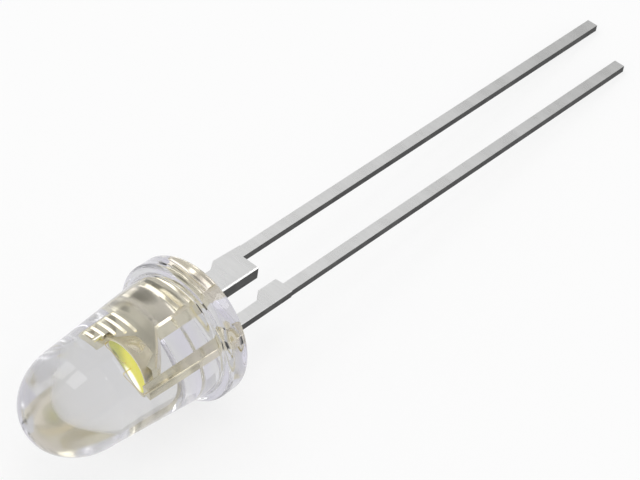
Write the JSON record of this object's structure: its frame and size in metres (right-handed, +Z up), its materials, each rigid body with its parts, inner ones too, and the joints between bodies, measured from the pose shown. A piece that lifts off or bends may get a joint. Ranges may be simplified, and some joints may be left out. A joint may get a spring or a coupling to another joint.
{
  "type": "through hole led",
  "caption": "Water-clear round light-emitting diode: flanged epoxy lens with a phosphor-filled cup on flat tinned leads, soldered through holes as an indicator or light source.",
  "frame": {"origin": "centre of the bounding box's underside, with the part lying on the floor on its flange's rim and the tips of both leads", "axes": "+Y from the dome towards the tips of the leads, +Z up, square to the leads' flat faces but for the resting tilt and roll, +X from the cup's long lead towards the bond post's short lead"},
  "size_m": [0.0058, 0.0348, 0.0058],
  "materials": {
    "clear_epoxy": "gloss",
    "tinned_lead": "satin",
    "phosphor": "matte",
    "chip": "gloss",
    "glue": "satin",
    "bond_wire": "gloss"
  },
  "bodies": {
    "root": {"lens_body": "clear_epoxy", "cup_lead": "tinned_lead", "post_lead": "tinned_lead", "phosphor_fill": "phosphor", "chip": "chip", "die_attach": "glue", "post_wire": "bond_wire", "cup_wire": "bond_wire"}
  },
  "joints": []
}
